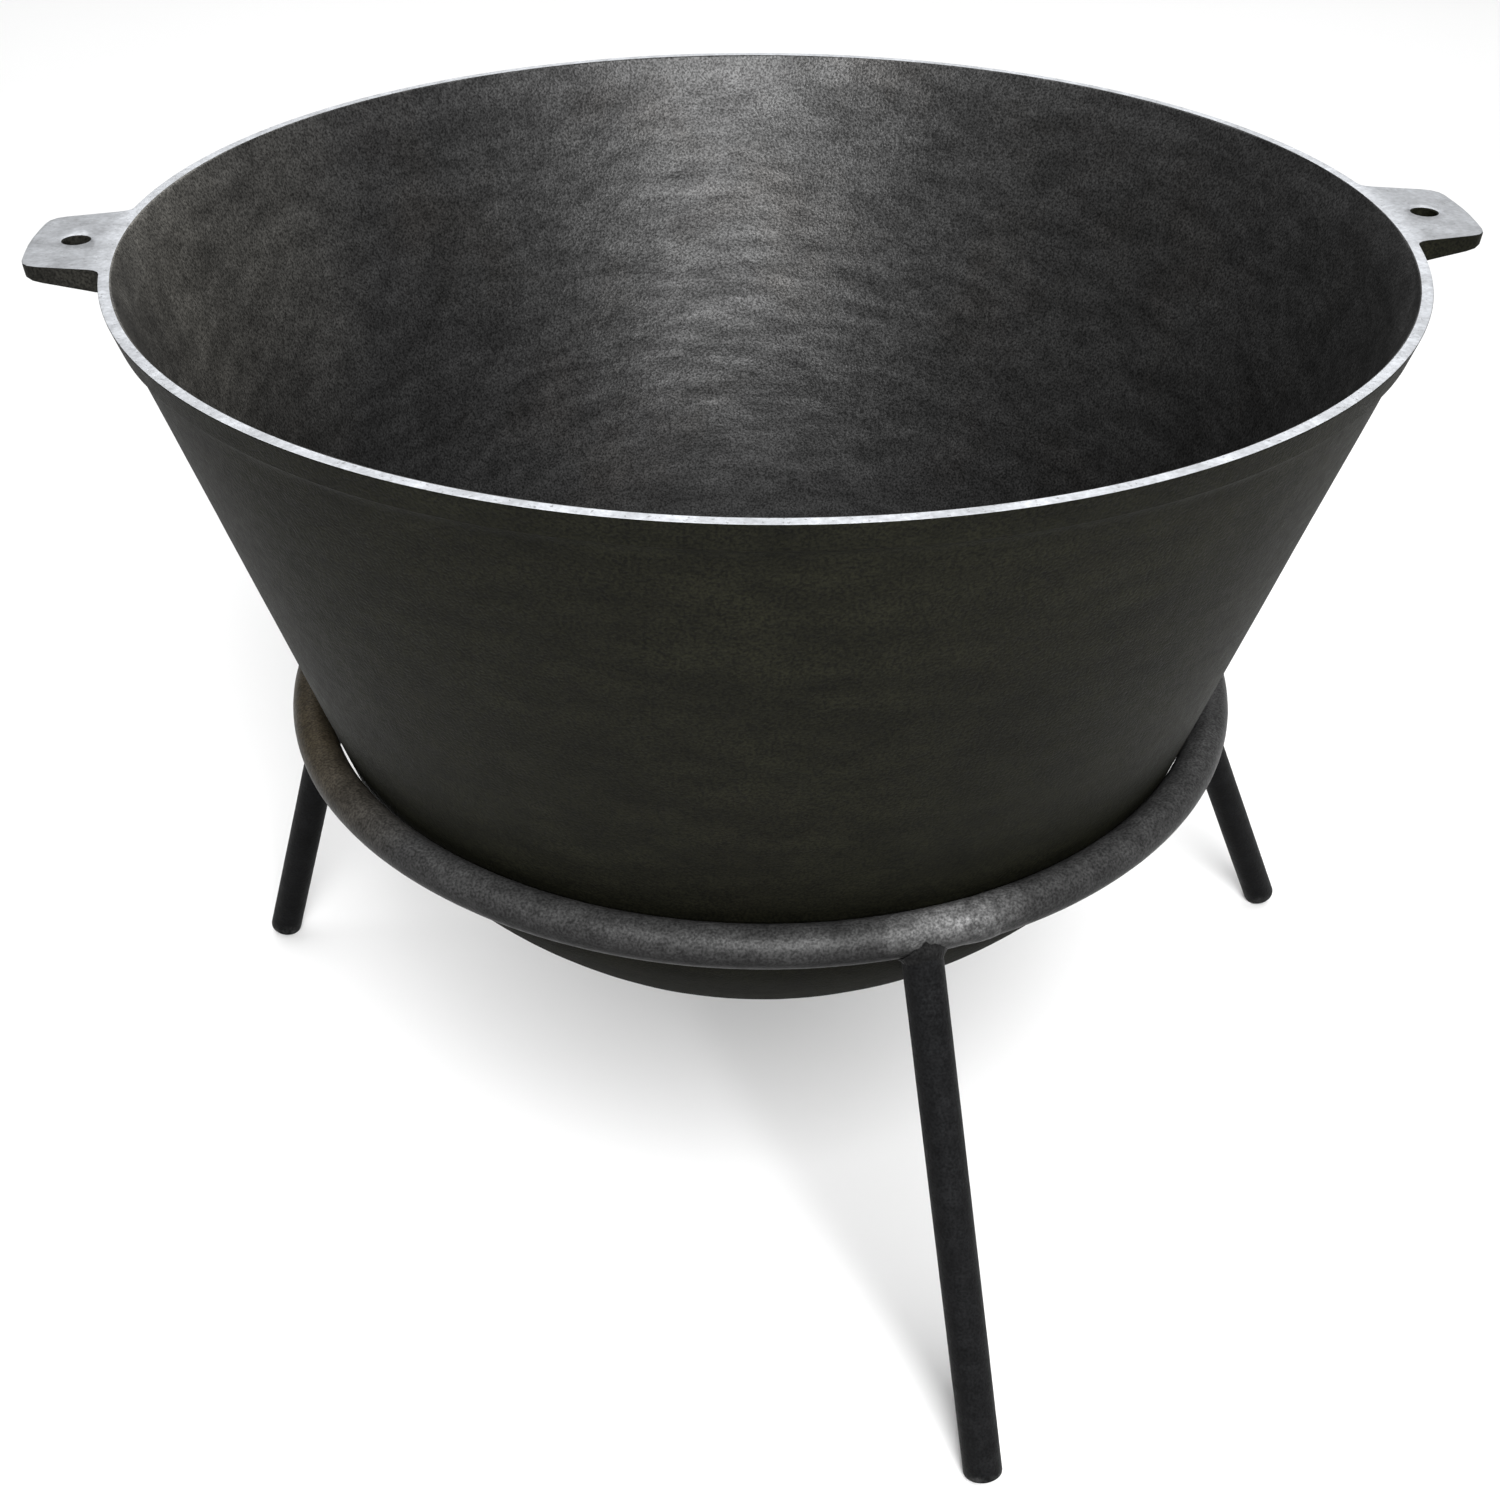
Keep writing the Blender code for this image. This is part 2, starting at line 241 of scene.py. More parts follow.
def softened(corners, reaches, counts):
    """The open line through the corners, each inner one rounded by a curve of the given reach.

    counts gives how many steps each straight run between two curves is cut into.
    """
    curves = [[corners[0]]]
    for before, corner, after, reach in zip(corners, corners[1:], corners[2:], reaches):
        back = before - corner
        ahead = after - corner
        start = corner + back.normalized() * min(reach, LONGEST_REACH * back.length)
        end = corner + ahead.normalized() * min(reach, LONGEST_REACH * ahead.length)
        curve = []
        for step in range(CORNER_STEPS + 1):
            share = step / CORNER_STEPS
            curve.append(start.lerp(corner, share).lerp(corner.lerp(end, share), share))
        curves.append(curve)
    curves.append([corners[-1]])
    line = list(curves[0])
    for here, there, count in zip(curves, curves[1:], counts):
        line += [here[-1].lerp(there[0], share) for share in eased(count)[1:-1]]
        line += there
    return line


def skin(rings, closed=False):
    """A bmesh over rings of equally many points. Its ends are filled unless it closes on itself."""
    bm = bmesh.new()
    rows = [[bm.verts.new(point) for point in ring] for ring in rings]
    pairs = list(zip(rows, rows[1:]))
    if closed:
        pairs.append((rows[-1], rows[0]))
    else:
        bm.faces.new(rows[0])
        bm.faces.new(rows[-1][::-1])
    for here, there in pairs:
        for side in range(len(here)):
            beside = (side + 1) % len(here)
            bm.faces.new((here[side], there[side], there[beside], here[beside]))
    return bm


def mesh_from(name, bm, sharp_angle=math.radians(40.0)):
    """The bmesh as a smooth mesh whose edges are sharp above this angle."""
    bmesh.ops.recalc_face_normals(bm, faces=bm.faces)
    mesh = bpy.data.meshes.new(name)
    bm.to_mesh(mesh)
    bm.free()
    mesh.shade_smooth()
    mesh.set_sharp_from_angle(angle=sharp_angle)
    return mesh


def add_object(name, data):
    """A new object in the scene for a mesh, light or camera."""
    obj = bpy.data.objects.new(name, data)
    bpy.context.scene.collection.objects.link(obj)
    return obj


def add_piece(name, mesh, materials, body, node):
    """A finished piece that stands for a CAD node and moves with its body."""
    for material in materials:
        mesh.materials.append(material)
    piece = add_object(name, mesh)
    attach(piece, body)
    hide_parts(node)
    return piece


def rod_ends(node):
    """The middles of a straight rod's top and of its foot, from the CAD node's own corners."""
    corners = {tuple(round(c, 6) for c in vertex.co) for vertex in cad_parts[node].data.vertices}
    corners = [Vector(corner) for corner in corners]
    low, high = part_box(node)
    middle = (low.z + high.z) / 2
    top = [corner for corner in corners if corner.z > middle]
    foot = [corner for corner in corners if corner.z <= middle]
    top_middle = sum(top, Vector()) / len(top)
    down = (sum(foot, Vector()) / len(foot) - top_middle).normalized()
    length = max((corner - top_middle).dot(down) for corner in foot)
    return top_middle, top_middle + down * length


# ---------------------------------------------------------------- bowl


def ear_outline(azimuth):
    """One ear's edge in plan, anticlockwise, from the rim on one side to the rim on the other."""
    side = Vector((EAR_CORNER - EAR_ROOT, EAR_TIP_HALF_WIDTH - EAR_ROOT_HALF_WIDTH))
    root = Vector((EAR_ROOT, EAR_ROOT_HALF_WIDTH))
    # The root corner is where the ear's side leaves the rim's circle
    middle = root.dot(side) / side.length_squared
    across = root.length_squared - RIM_RADIUS**2
    root += side * (-middle + math.sqrt(middle**2 - across / side.length_squared))
    root_azimuth = math.atan2(root.y, root.x)
    start_azimuth = root_azimuth + EAR_RUN_UP / RIM_RADIUS
    start = RIM_RADIUS * Vector((math.cos(start_azimuth), math.sin(start_azimuth)))
    upper = [start, root, Vector((EAR_CORNER, EAR_TIP_HALF_WIDTH)), Vector((EAR_TIP, 0.0))]
    lower = [Vector((corner.x, -corner.y)) for corner in upper[:-1]]
    corners = lower + upper[::-1]
    reaches = (EAR_ROOT_REACH, EAR_CORNER_REACH, EAR_TIP_REACH, EAR_CORNER_REACH, EAR_ROOT_REACH)
    counts = [max(2, round((b - a).length / EAR_STEP)) for a, b in zip(corners, corners[1:])]
    turn = Matrix.Rotation(azimuth, 2)
    return [turn @ point for point in softened(corners, reaches, counts)]


def plan_outline():
    """The whole outline of the rim with both ears, in plan from the axis, anticlockwise."""
    ears = [ear_outline(azimuth) for azimuth in EARS]
    outline = []
    for ear, following in zip(ears, ears[1:] + ears[:1]):
        outline += ear
        start = math.atan2(ear[-1].y, ear[-1].x)
        sweep = (math.atan2(following[0].y, following[0].x) - start) % math.tau
        steps = round(sweep * RIM_RADIUS / PLAN_STEP)
        for step in range(1, steps):
            azimuth = start + sweep * step / steps
            outline.append(RIM_RADIUS * Vector((math.cos(azimuth), math.sin(azimuth))))
    return outline


def shell_line(inset):
    """(radius, height) from the bottom of the dome up to the top of the knuckle, this far inside."""
    line = []
    for step in range(DOME_ROWS + 1):
        angle = -math.pi / 2 + (math.pi / 2 - KNUCKLE_ANGLE) * step / DOME_ROWS
        reach = DOME_RADIUS - inset
        line.append(Vector((reach * math.cos(angle), DOME_HEIGHT + reach * math.sin(angle))))
    centre = Vector((
        KNUCKLE_OFFSET * math.cos(KNUCKLE_ANGLE),
        DOME_HEIGHT - KNUCKLE_OFFSET * math.sin(KNUCKLE_ANGLE),
    ))
    for step in range(1, KNUCKLE_ROWS + 1):
        angle = -KNUCKLE_ANGLE + (KNUCKLE_ANGLE - CONE_ANGLE) * step / KNUCKLE_ROWS
        reach = KNUCKLE_RADIUS - inset
        line.append(centre + reach * Vector((math.cos(angle), math.sin(angle))))
    return line


def rim_line(edge_radius):
    """(radius, height) over the rim, where the plan outline stands this far from the axis.

    It runs from the cast wall up through the turned mouth, across the flat top, down the edge and back
    under to the outside of the wall. On an ear the top is wide, and the edge has an underside.
    """
    on_ear = smooth(RIM_RADIUS, RIM_RADIUS + EAR_BLEND, edge_radius)
    out = (edge_radius - EAR_ROOT) / (EAR_TIP - EAR_ROOT)
    ear_thickness = EAR_ROOT_THICKNESS + (EAR_TIP_THICKNESS - EAR_ROOT_THICKNESS) * out
    edge = LIP_HEIGHT / 2 + (ear_thickness - LIP_HEIGHT / 2) * on_ear
    inside_top = CONE_TOP_RADIUS - WALL / math.cos(CONE_ANGLE)
    lip_foot = LIP_HEIGHT + LIP_STEP
    corners = [
        (inside_top - WALL_SLOPE * MOUTH_DEPTH, MOUTH_DEPTH),
        (RIM_RADIUS - RIM_WIDTH, 0.0),
        (edge_radius, 0.0),
        (edge_radius - WALL_SLOPE * edge * (1 - EAR_UPRIGHT * on_ear), edge),
        (RIM_RADIUS - WALL_SLOPE * EAR_ROOT_THICKNESS, EAR_ROOT_THICKNESS),
        (RIM_RADIUS - WALL_SLOPE * LIP_HEIGHT, LIP_HEIGHT),
        (CONE_TOP_RADIUS - WALL_SLOPE * lip_foot, lip_foot),
        (CONE_TOP_RADIUS - WALL_SLOPE * CONE_START, CONE_START),
    ]
    corners = [Vector((radius, RIM_HEIGHT - depth)) for radius, depth in corners]
    return softened(corners, RIM_REACHES, RIM_RUNS)


def bowl_grid():
    """Columns of points, one for each point of the plan outline, from the inner pole to the outer one.

    Also returns the row where the curve into the flat top starts, and the one where the curve out of it
    ends.
    """
    inner = shell_line(WALL)
    outer = shell_line(0.0)[::-1]
    columns = []
    for point in plan_outline():
        over = rim_line(point.length)
        up = [inner[-1].lerp(over[0], step / CONE_ROWS) for step in range(1, CONE_ROWS)]
        down = [over[-1].lerp(outer[0], step / CONE_ROWS) for step in range(1, CONE_ROWS)]
        azimuth = math.atan2(point.y, point.x)
        line = inner + up + over + down + outer
        columns.append([polar(radius, azimuth, height) for radius, height in line])
    top_start = len(inner) + CONE_ROWS - 1 + RIM_RUNS[0]
    top_end = top_start + 2 * CORNER_STEPS + RIM_RUNS[1]
    return columns, top_start, top_end


def casting_relief(point, inside):
    """How far the cast face stands out at a point. The outside only goes in, and is true at the ring."""
    if inside:
        flowed = Vector((point.x, point.y, FLOW_STRETCH * point.z))
        return rough(point, *INSIDE_SWELL) + rough(flowed, *INSIDE_FLOW)
    clear = smooth(0.0, RING_BAR_RADIUS, abs(point.z - RING_HEIGHT) - RING_BAR_RADIUS)
    return -clear * (abs(rough(point, *OUTSIDE_SWELL)) + abs(rough(point, *OUTSIDE_DENTS)))


def bowl_mesh():
    """The casting's skin, with the flat top of the rim and ears left true and the cast faces uneven."""
    columns, top_start, top_end = bowl_grid()
    rows = len(columns[0])
    bm = bmesh.new()
    inner_pole = bm.verts.new(columns[0][0])
    outer_pole = bm.verts.new(columns[0][-1])
    grid = [[bm.verts.new(point) for point in column[1:-1]] for column in columns]
    for here, there in zip(grid, grid[1:] + grid[:1]):
        bm.faces.new((inner_pole, here[0], there[0])).material_index = INSIDE
        bm.faces.new((outer_pole, there[-1], here[-1])).material_index = OUTSIDE
        for row in range(rows - 3):
            face = bm.faces.new((here[row], here[row + 1], there[row + 1], there[row]))
            if row < top_start + CORNER_STEPS - 1:
                face.material_index = INSIDE
            elif row + 1 <= top_end - CORNER_STEPS:
                face.material_index = MACHINED
            else:
                face.material_index = OUTSIDE
    bmesh.ops.recalc_face_normals(bm, faces=bm.faces)
    bm.normal_update()
    moves = []
    for column in grid:
        for row, vertex in enumerate(column, start=1):
            if top_start + CORNER_STEPS <= row <= top_end - CORNER_STEPS:
                continue
            out = vertex.normal.copy()
            if top_start <= row <= top_end:
                out.z = 0.0
            inside = row < (top_start + top_end) / 2
            moves.append((vertex, out * casting_relief(vertex.co, inside)))
    for vertex, move in moves:
        vertex.co += move
    return mesh_from("bowl_casting", bm)


def hole_cutter(azimuth, material):
    """A drill through an ear, flared at the top to break the hole's upper edge."""
    top = RIM_HEIGHT
    bottom = RIM_HEIGHT - EAR_ROOT_THICKNESS
    wide = EAR_HOLE_RADIUS + EAR_HOLE_BREAK
    levels = (
        (wide + WALL, bottom - WALL),
        (EAR_HOLE_RADIUS, bottom + EAR_HOLE_BREAK),
        (EAR_HOLE_RADIUS, top - EAR_HOLE_BREAK),
        (wide + WALL, top + WALL),
    )
    centre = polar(EAR_HOLE_AT, azimuth)
    rings = []
    for radius, height in levels:
        ring = []
        for side in range(HOLE_SIDES):
            angle = math.tau * side / HOLE_SIDES
            ring.append(centre + Vector((radius * math.cos(angle), radius * math.sin(angle), height)))
        rings.append(ring)
    mesh = mesh_from("hole_cutter", skin(rings))
    mesh.materials.append(material)
    cutter = add_object("hole_cutter", mesh)
    cutter.hide_render = True
    return cutter


def add_bowl(materials):
    """The casting with both ear holes drilled."""
    mesh = bowl_mesh()
    for material in materials:
        mesh.materials.append(material)
    blank = add_object("bowl_blank", mesh)
    cutters = [hole_cutter(azimuth, materials[OUTSIDE]) for azimuth in EARS]
    for cutter in cutters:
        modifier = blank.modifiers.new("hole", "BOOLEAN")
        modifier.operation = "DIFFERENCE"
        modifier.solver = "EXACT"
        modifier.material_mode = "TRANSFER"
        modifier.object = cutter
    evaluated = blank.evaluated_get(bpy.context.evaluated_depsgraph_get())
    drilled = bpy.data.meshes.new_from_object(evaluated)
    drilled.name = "bowl_casting"
    for helper in (blank, *cutters):
        bpy.data.objects.remove(helper)
    add_piece("bowl_casting", drilled, (), "bowl", "bowl")


# ---------------------------------------------------------------- stand


def ring_radius(azimuth):
    """The ring's centre line, with the place where it stands off the bowl."""
    off = math.remainder(azimuth - BOW_AZIMUTH, math.tau) / BOW_HALF_ANGLE
    if abs(off) >= 1:
        return RING_RADIUS
    return RING_RADIUS + BOW_DEPTH * math.cos(off * math.pi / 2) ** 2


def ring_section(azimuth, radius_at):
    """One ring of points round the bent bar. radius_at gives the bar's radius at a point on it."""
    outward = polar(1.0, azimuth) - AXIS
    centre = polar(ring_radius(azimuth), azimuth, RING_HEIGHT)
    section = []
    for side in range(BAR_SIDES):
        angle = math.tau * side / BAR_SIDES
        offset = outward * math.cos(angle) + Vector((0.0, 0.0, math.sin(angle)))
        section.append(centre + offset * radius_at(centre + offset * RING_BAR_RADIUS))
    return section


def bar_surface(radius, seed):
    """A function that gives a bar's radius at a point, with the slight dents of rolled stock."""

    def surface(point):
        return radius - abs(rough(point, *BAR_SWELL, seed)) - abs(rough(point, *BAR_DENTS, seed))

    return surface


def add_ring(steel):
    """The bent bar, with a gap between its ends for the weld that closes it."""
    half_gap = (RING_WELD_LENGTH / 2 + GAP) / RING_RADIUS
    sweep = math.tau - 2 * half_gap
    steps = round(sweep * RING_RADIUS / BAR_STEP)
    start = RING_WELD_AZIMUTH + half_gap
    surface = bar_surface(RING_BAR_RADIUS, RING_SEED)
    rings = [ring_section(start + sweep * step / steps, surface) for step in range(steps + 1)]
    mesh = mesh_from("stand_ring_bar", skin(rings))
    add_piece("stand_ring_bar", mesh, (steel,), "stand", "stand_ring")


def add_ring_weld(metal):
    """The butt weld that closes the ring, with an uneven edge over both bar ends.

    It stands a little proud on the outer side. The inner side is ground flush, clear of the bowl.
    """
    rings = []
    for step in range(RING_WELD_ROWS + 1):
        share = 2 * step / RING_WELD_ROWS - 1
        azimuth = RING_WELD_AZIMUTH + share * RING_WELD_SPREAD / RING_RADIUS
        crown = RING_WELD_CROWN - RING_WELD_FALL * abs(share) ** 3

        def surface(point, crown=crown):
            out = ((point - AXIS) * Vector((1.0, 1.0, 0.0))).length - RING_RADIUS
            proud = smooth(*RING_WELD_OUTER, out / RING_BAR_RADIUS)
            uneven = crown + rough(point, *RING_WELD_LUMPS)
            return RING_BAR_RADIUS + uneven * proud - CONTACT_GAP * (1.0 - proud)

        rings.append(ring_section(azimuth, surface))
    mesh = mesh_from("ring_butt_weld", skin(rings))
    add_piece("ring_butt_weld", mesh, (metal,), "stand", "ring_weld")


def leg_frame(name):
    """A leg's joint with the ring, its foot, and directions down it, along the ring and across both."""
    top, foot = rod_ends(f"leg_{name}")
    down = (foot - top).normalized()
    joint = top - down * (RING_BAR_RADIUS + GAP)
    outward = (joint - AXIS) * Vector((1.0, 1.0, 0.0))
    along = Vector((0.0, 0.0, 1.0)).cross(outward).normalized()
    along = (along - down * along.dot(down)).normalized()
    return joint, foot, down, along, down.cross(along)


def add_leg(name, steel, seed):
    """A straight bar sawn square at both ends, with its foot's edge worn round."""
    joint, foot, down, along, across = leg_frame(name)
    length = (foot - joint).length
    top = RING_BAR_RADIUS + GAP
    plain = length - FOOT_START - top
    profile = [(top, LEG_BAR_RADIUS - LEG_TOP_BREAK)]
    profile += [(top + plain * step / LEG_ROWS, LEG_BAR_RADIUS) for step in range(LEG_ROWS + 1)]
    profile += [(length - from_end, LEG_BAR_RADIUS - inside) for from_end, inside in FOOT_EDGE]
    surface = bar_surface(0.0, seed)
    rings = []
    for place, radius in profile:
        centre = joint + down * place
        ring = []
        for side in range(BAR_SIDES):
            angle = math.tau * side / BAR_SIDES
            offset = along * math.cos(angle) + across * math.sin(angle)
            ring.append(centre + offset * (radius + surface(centre + offset * LEG_BAR_RADIUS)))
        rings.append(ring)
    mesh = mesh_from(f"leg_bar_{name}", skin(rings))
    add_piece(f"leg_bar_{name}", mesh, (steel,), "stand", f"leg_{name}")


def weld_section(angle, seed):
    """(radius from the leg's axis, distance below the joint) of a fillet weld's face and hidden back.

    angle runs round the leg from the ring's direction. There the weld is a plain corner fillet. A quarter
    turn on, it fills the wedge between the leg's square end and the ring's round side.
    """
    beside = math.sin(angle) ** 2
    around = Vector((math.cos(angle), math.sin(angle), seed))
    toe = BEAD_TOE - BEAD_TOE_BESIDE * beside + rough(around, *BEAD_TOE_LUMPS)
    across = min(toe * abs(math.sin(angle)), 0.99 * RING_BAR_RADIUS)
    toe_depth = math.sqrt(RING_BAR_RADIUS**2 - across**2)
    foot_depth = BEAD_FOOT + rough(around, *BEAD_FOOT_LUMPS)
    start = Vector((toe, toe_depth - BEAD_SINK))
    end = Vector((LEG_BAR_RADIUS - BEAD_LAP, foot_depth))
    corner = Vector((LEG_BAR_RADIUS, toe_depth)) + Vector(BEAD_CORNER)
    bulge = start.lerp(end, 0.5).lerp(corner, 0.60 - 0.25 * beside)
    face = []
    for step in range(BEAD_ROWS + 1):
        share = step / BEAD_ROWS
        face.append(start.lerp(bulge, share).lerp(bulge.lerp(end, share), share))
    hidden = LEG_BAR_RADIUS - BEAD_BACK
    back = [Vector((hidden, foot_depth - BEAD_BACK_SHORT)), Vector((hidden, toe_depth))]
    return face, back


def add_leg_weld(name, metal, seed):
    """The fillet weld round a leg's top, with the ripples that welding leaves."""
    joint, _, down, along, across = leg_frame(name)
    rings = []
    for step in range(BEAD_STEPS):
        angle = math.tau * step / BEAD_STEPS
        face, back = weld_section(angle, seed)
        out = along * math.cos(angle) + across * math.sin(angle)
        rise = out * BEAD_LIFT[0] + down * BEAD_LIFT[1]
        ring = []
        for row, point in enumerate(face):
            middle = math.sin(math.pi * row / BEAD_ROWS)
            wave = math.cos(BEAD_RIPPLES * angle + BEAD_RIPPLE_LAG * middle)
            spot = joint + out * point.x + down * point.y
            lift = middle * (BEAD_RIPPLE_HEIGHT * wave + rough(spot, *BEAD_LUMPS, seed))
            ring.append(spot + rise * lift)
        ring += [joint + out * point.x + down * point.y for point in back]
        rings.append(ring)
    mesh = mesh_from(f"leg_weld_bead_{name}", skin(rings, closed=True))
    add_piece(f"leg_weld_bead_{name}", mesh, (metal,), "stand", f"weld_{name}")


# ---------------------------------------------------------------- materials


class Tree:
    """A material's node tree, with a short call for each kind of node used here."""

    def __init__(self, name):
        self.material = bpy.data.materials.new(name)
        self.material.use_nodes = True
        self.tree = self.material.node_tree
        self.shader = self.tree.nodes["Principled BSDF"]
        self.place = self.add("ShaderNodeTexCoord").outputs["Object"]

    def add(self, kind, inputs=(), **settings):
        """A new node. inputs maps its sockets to values or to other nodes' outputs."""
        node = self.tree.nodes.new(kind)
        for name, value in settings.items():
            setattr(node, name, value)
        for key, value in dict(inputs).items():
            self.set(node, key, value)
        return node

    def set(self, node, key, value):
        if isinstance(value, bpy.types.NodeSocket):
            self.tree.links.new(value, node.inputs[key])
        else:
            node.inputs[key].default_value = value

    def noise(self, size, detail=3.0, roughness=0.55, place=None):
        """Noise with features of about this size, in metres."""
        inputs = {
            "Vector": place or self.place,
            "Scale": 1.0 / size,
            "Detail": detail,
            "Roughness": roughness,
        }
        return self.add("ShaderNodeTexNoise", inputs).outputs["Fac"]

    def stretched(self, factors, offset=(0.0, 0.0, 0.0)):
        """The place on the object, for noise that is finer along an axis by its factor."""
        inputs = {"Vector": self.place, "Scale": factors, "Location": offset}
        return self.add("ShaderNodeMapping", inputs).outputs["Vector"]

    def ranged(self, value, low, high, to_low=0.0, to_high=1.0):
        """value from low..high to to_low..to_high, held at both ends."""
        inputs = {
            "Value": value,
            "From Min": low,
            "From Max": high,
            "To Min": to_low,
            "To Max": to_high,
        }
        return self.add("ShaderNodeMapRange", inputs).outputs["Result"]

    def maths(self, operation, *values):
        return self.add("ShaderNodeMath", dict(enumerate(values)), operation=operation).outputs[0]

    def product(self, first, *others):
        for other in others:
            first = self.maths("MULTIPLY", first, other)
        return first

    def scaled(self, colour, amount):
        """A colour made lighter or darker by an amount."""
        inputs = {0: colour, "Scale": amount}
        if not isinstance(colour, bpy.types.NodeSocket):
            inputs[0] = colour[:3]
        return self.add("ShaderNodeVectorMath", inputs, operation="SCALE").outputs["Vector"]

    def mixed(self, share, first, second):
        """A colour between two colours."""
        inputs = {0: share, 6: first, 7: second}
        return self.add("ShaderNodeMix", inputs, data_type="RGBA").outputs[2]

    def distance_from(self, point, place=None):
        inputs = {0: place or self.place, 1: point}
        return self.add("ShaderNodeVectorMath", inputs, operation="DISTANCE").outputs["Value"]

    def radius_from_axis(self):
        """Distance from the bowl's axis."""
        flat = self.add(
            "ShaderNodeVectorMath",
            {0: self.place, 1: (1.0, 1.0, 0.0)},
            operation="MULTIPLY",
        ).outputs["Vector"]
        return self.distance_from(AXIS, flat)

    def upward(self):
        """1 where the surface faces up, and -1 where it faces down."""
        normal = self.add("ShaderNodeNewGeometry").outputs["Normal"]
        return self.add("ShaderNodeSeparateXYZ", {0: normal}).outputs["Z"]

    def height(self):
        """Height above the ground."""
        return self.add("ShaderNodeSeparateXYZ", {0: self.place}).outputs["Z"]

    def bump(self, height, depth, under=None):
        """A bump of this depth in metres, over the bump that went before."""
        inputs = {"Height": height, "Distance": depth, "Strength": 1.0}
        if under is not None:
            inputs["Normal"] = under
        return self.add("ShaderNodeBump", inputs).outputs["Normal"]

    def finish(self, **sockets):
        """Sets the shader's sockets, named in lower case, and returns the material."""
        for name, value in sockets.items():
            self.set(self.shader, name.replace("_", " ").title().replace("Ior", "IOR"), value)
        return self.material


def shade(level, tint=NEUTRAL):
    """A tinted grey, as a colour with alpha."""
    return (*(level * part for part in tint), 1.0)


def cast_iron(name, level, tint, left_ear_colour, wrinkle_depth, grain_depth, roughness, metallic, gloss):
    """Blackened cast iron: soft flow wrinkles lie across the wall, under a fine sand grain. Below the ring
    the colour darkens as painted shade, and the surface turns rougher.
    """
    tree = Tree(name)
    clouds = tree.noise(0.11, 4.0, 0.6)
    wrinkles = tree.noise(0.024, 0.7, 0.5, tree.stretched((1.0, 1.0, 2.4)))
    mottle = tree.noise(0.0050, 2.0, 0.6)
    grain = tree.noise(0.0012, 1.0, 0.5)
    rust = tree.noise(0.085, 5.0, 0.62, tree.stretched((1.0, 1.0, 1.0), (4.0, 1.0, 2.0)))
    # Painted shade: from a little above the ring downwards the colour darkens, to 0.7 of itself below the
    # ring, and the same mask makes the surface rougher there.
    below_ring_shade_and_roughness = tree.ranged(tree.height(), RING_HEIGHT - 0.04, RING_HEIGHT + 0.05, 1.0, 0.0)

    amount = tree.product(
        tree.ranged(clouds, 0.3, 0.7, 0.84, 1.18),
        tree.ranged(wrinkles, 0.3, 0.7, 0.82, 1.22),
        tree.ranged(mottle, 0.3, 0.7, 0.90, 1.12),
        tree.ranged(grain, 0.32, 0.68, 1.0 / SPECKLE, SPECKLE),
        tree.ranged(below_ring_shade_and_roughness, 0.0, 1.0, 1.0, 0.7),
    )
    rusty = (level * 1.25, level * 0.92, level * 0.62, 1.0)
    colour = tree.mixed(tree.ranged(rust, 0.52, 0.75, 0.0, 0.12), shade(level, tint), rusty)
    # The colour turns lighter and warmer towards the left ear.
    left_ear = polar(RIM_RADIUS, EARS[1], RIM_HEIGHT)
    near_ear = tree.ranged(tree.distance_from(left_ear), *NEAR_EAR, 1.0, 0.0)
    left_ear_share = tree.maths("MULTIPLY", near_ear, tree.ranged(clouds, 0.25, 0.75, 0.4, 1.0))
    colour = tree.scaled(tree.mixed(left_ear_share, colour, left_ear_colour), amount)

    relief = tree.bump(wrinkles, wrinkle_depth)
    relief = tree.bump(mottle, wrinkle_depth * 0.25, relief)
    relief = tree.bump(grain, grain_depth, relief)
    uneven = tree.ranged(mottle, 0.3, 0.7, roughness - 0.04, roughness + 0.04)
    return tree.finish(
        base_color=colour,
        roughness=tree.maths("MULTIPLY_ADD", below_ring_shade_and_roughness, 0.28, uneven),
        normal=relief,
        metallic=metallic,
        specular_ior_level=gloss,
    )


def machined_iron(name):
    """The rim and the ear tops, turned bright, with fine turning marks and a few open pores."""
    tree = Tree(name)
    radius = tree.radius_from_axis()
    turning = {"W": radius, "Scale": 2600.0, "Detail": 2.0}
    marks = tree.add("ShaderNodeTexNoise", turning, noise_dimensions="1D").outputs["Fac"]
    clouds = tree.noise(0.012, 4.0, 0.65)
    grain = tree.ranged(tree.noise(0.0022, 2.0, 0.6), 0.3, 0.7, 0.84, 1.12)
    pores = tree.ranged(tree.noise(0.0019, 2.0, 0.6), 0.64, 0.70)
    on_ear = tree.ranged(radius, RIM_RADIUS - 0.002, RIM_RADIUS + 0.006)

    cloudy = tree.ranged(clouds, 0.35, 0.65)
    bright = tree.mixed(cloudy, shade(0.62, BLUED), shade(0.76, BLUED))
    dull = tree.mixed(cloudy, shade(0.43, BLUED), shade(0.53, BLUED))
    colour = tree.mixed(on_ear, bright, dull)
    colour = tree.scaled(tree.mixed(tree.maths("MULTIPLY", pores, 0.5), colour, shade(0.20)), grain)

    relief = tree.bump(marks, 0.00003)
    relief = tree.bump(pores, -0.00012, relief)
    return tree.finish(
        base_color=colour,
        roughness=tree.ranged(clouds, 0.3, 0.7, 0.38, 0.50),
        normal=relief,
        metallic=0.9,
    )


